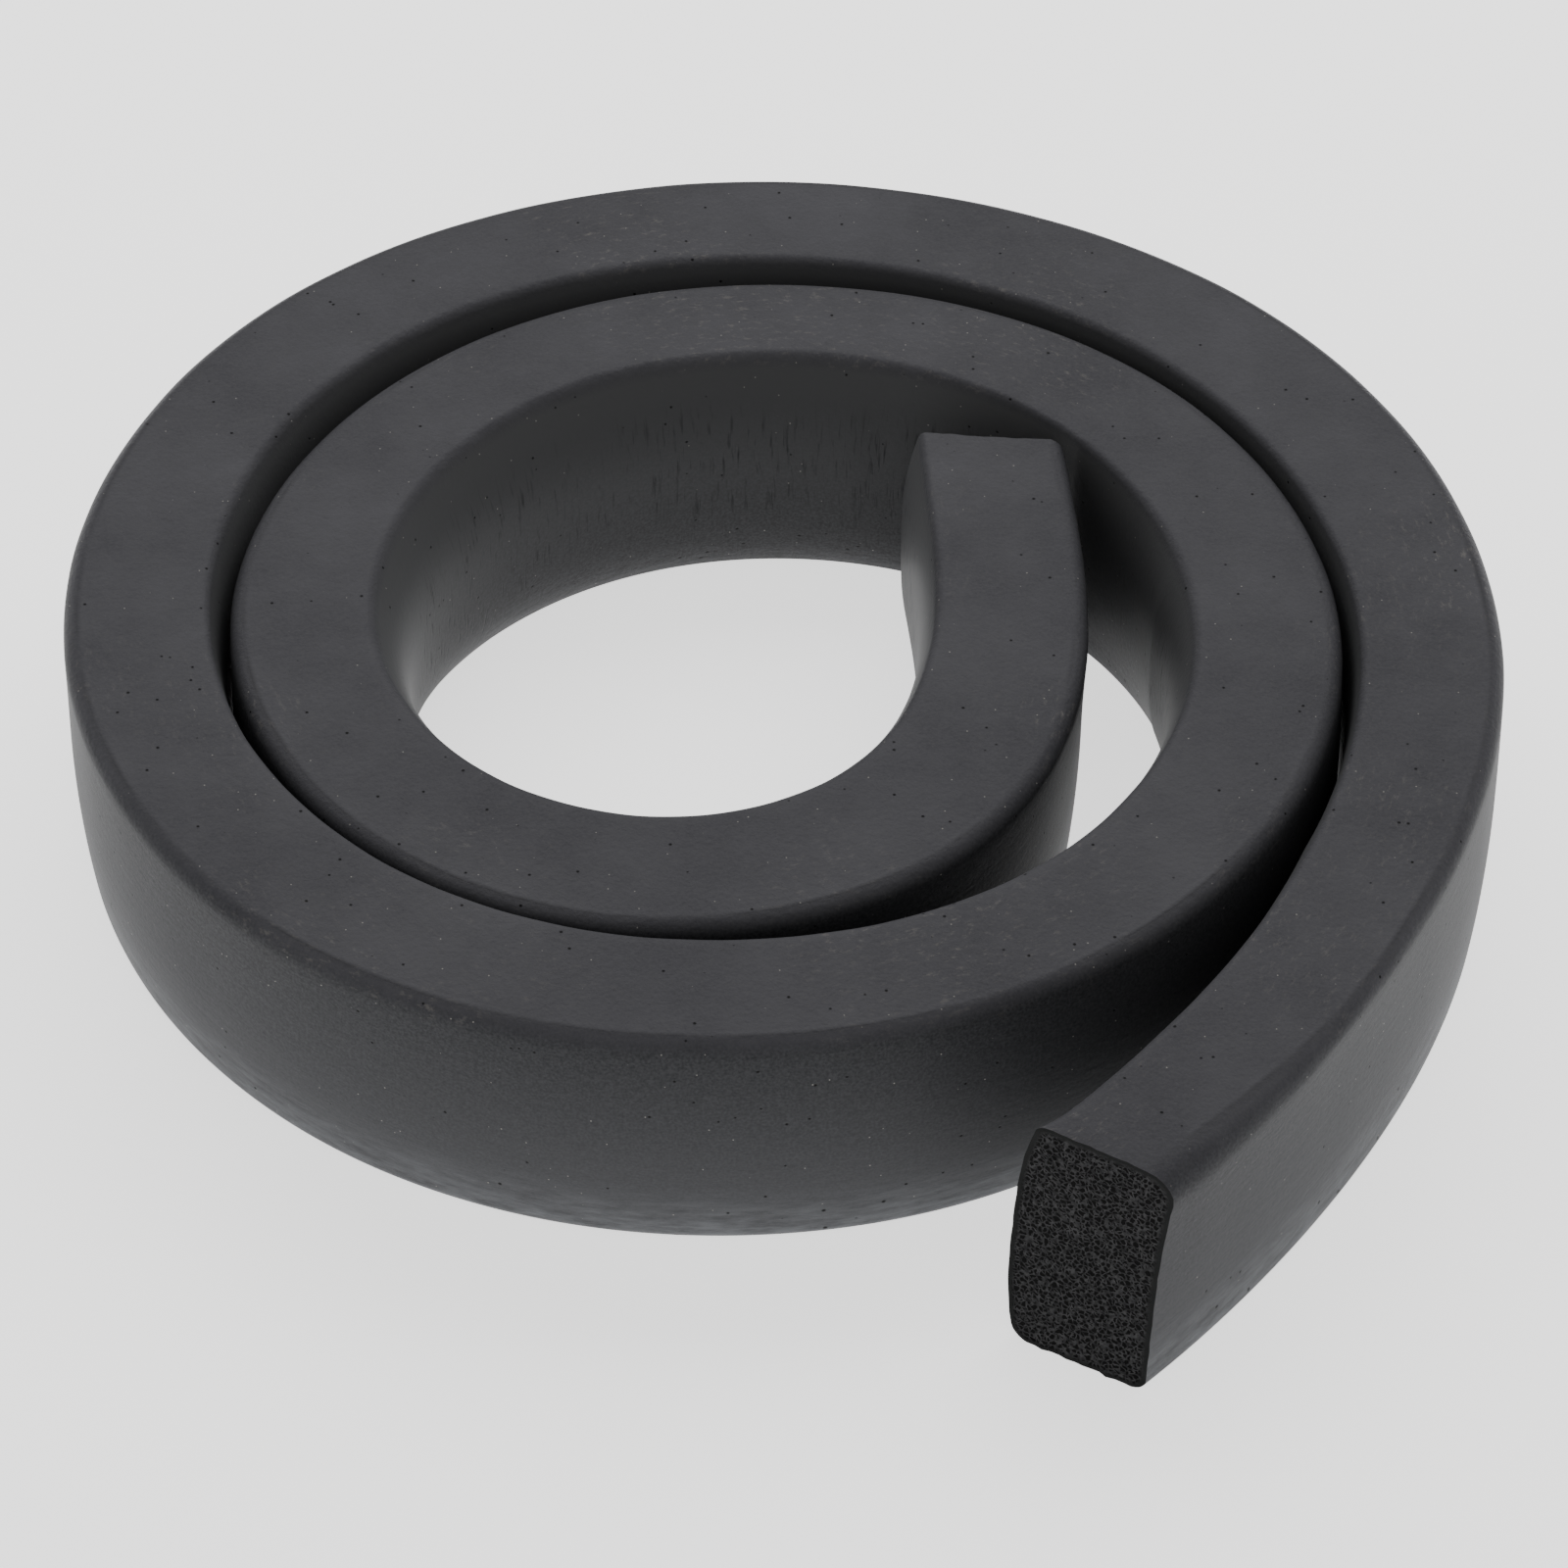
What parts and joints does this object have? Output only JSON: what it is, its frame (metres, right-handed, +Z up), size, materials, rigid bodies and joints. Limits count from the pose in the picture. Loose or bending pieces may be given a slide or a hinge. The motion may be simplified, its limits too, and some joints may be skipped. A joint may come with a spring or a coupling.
{
  "type": "sponge rubber door weatherstrip",
  "caption": "Cut length of dark sponge rubber door weatherstrip with a plain rectangular section, lying on its narrow edge in a loose open spiral.",
  "frame": {"origin": "On the floor, under the middle of the whole spiral's box", "axes": "+Z up, along the strip's width as it stands on its narrow edge. The outer cut end points towards -Y and +X, and the strip winds outwards clockwise seen from above. The picture looks along +Y and down."},
  "size_m": [0.196, 0.2008, 0.038],
  "materials": {
    "sponge_rubber": "matt moulded skin on closed-cell sponge rubber, with fine open cells at the cut faces"
  },
  "bodies": {
    "root": {"sponge_rubber_strip": "sponge_rubber"}
  },
  "joints": []
}
